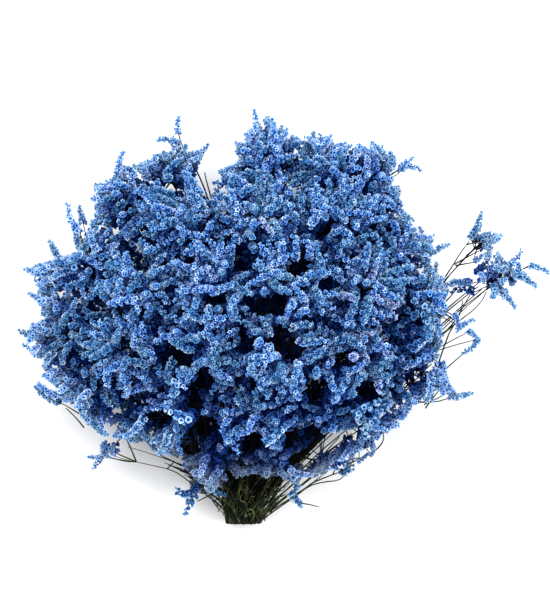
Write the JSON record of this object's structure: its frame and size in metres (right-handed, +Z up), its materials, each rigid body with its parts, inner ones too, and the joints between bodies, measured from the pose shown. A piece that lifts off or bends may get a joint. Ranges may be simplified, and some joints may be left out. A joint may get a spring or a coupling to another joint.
{
  "type": "dried statice bunch",
  "caption": "Cut bunch of blue dried statice lying on its side: forked stems pressed together at the cut end fan out into a dense dome of papery flower heads.",
  "frame": {"origin": "middle of the bunch's plan, on the table that it lies on", "axes": "+Z up from the table, +Y from the cut end towards the flowers, +X to the right as seen from above with the cut end nearest"},
  "size_m": [0.4185, 0.3315, 0.2243],
  "materials": {
    "dried_stem": "matt dried stem, dark olive brown",
    "dyed_flowers": "papery dried florets, dyed blue, matt"
  },
  "bodies": {
    "root": {"flowers_01a": "dyed_flowers", "flowers_01b": "dyed_flowers", "flowers_02a": "dyed_flowers", "flowers_02b": "dyed_flowers", "flowers_03a": "dyed_flowers", "flowers_03b": "dyed_flowers", "flowers_04a": "dyed_flowers", "flowers_04b": "dyed_flowers", "flowers_05a": "dyed_flowers", "flowers_05b": "dyed_flowers", "flowers_06a": "dyed_flowers", "flowers_06b": "dyed_flowers", "flowers_07a": "dyed_flowers", "flowers_07b": "dyed_flowers", "flowers_08a": "dyed_flowers", "flowers_08b": "dyed_flowers", "flowers_09a": "dyed_flowers", "flowers_09b": "dyed_flowers", "flowers_10a": "dyed_flowers", "flowers_10b": "dyed_flowers", "flowers_10c": "dyed_flowers", "flowers_11a": "dyed_flowers", "flowers_11b": "dyed_flowers", "flowers_11c": "dyed_flowers", "flowers_12a": "dyed_flowers", "flowers_12b": "dyed_flowers", "flowers_12c": "dyed_flowers", "flowers_13a": "dyed_flowers", "flowers_13b": "dyed_flowers", "flowers_14a": "dyed_flowers", "flowers_14b": "dyed_flowers", "flowers_14c": "dyed_flowers", "flowers_15a": "dyed_flowers", "flowers_15b": "dyed_flowers", "flowers_16a": "dyed_flowers", "flowers_16b": "dyed_flowers", "flowers_16c": "dyed_flowers", "flowers_17a": "dyed_flowers", "flowers_17b": "dyed_flowers", "flowers_17c": "dyed_flowers", "flowers_18a": "dyed_flowers", "flowers_18b": "dyed_flowers", "stem_01": "dried_stem", "stem_02": "dried_stem", "stem_03": "dried_stem", "stem_04": "dried_stem", "stem_05": "dried_stem", "stem_06": "dried_stem", "stem_07": "dried_stem", "stem_08": "dried_stem", "stem_09": "dried_stem", "stem_10": "dried_stem", "stem_11": "dried_stem", "stem_12": "dried_stem", "stem_13": "dried_stem", "stem_14": "dried_stem", "stem_15": "dried_stem", "stem_16": "dried_stem", "stem_17": "dried_stem", "stem_18": "dried_stem"}
  },
  "joints": []
}
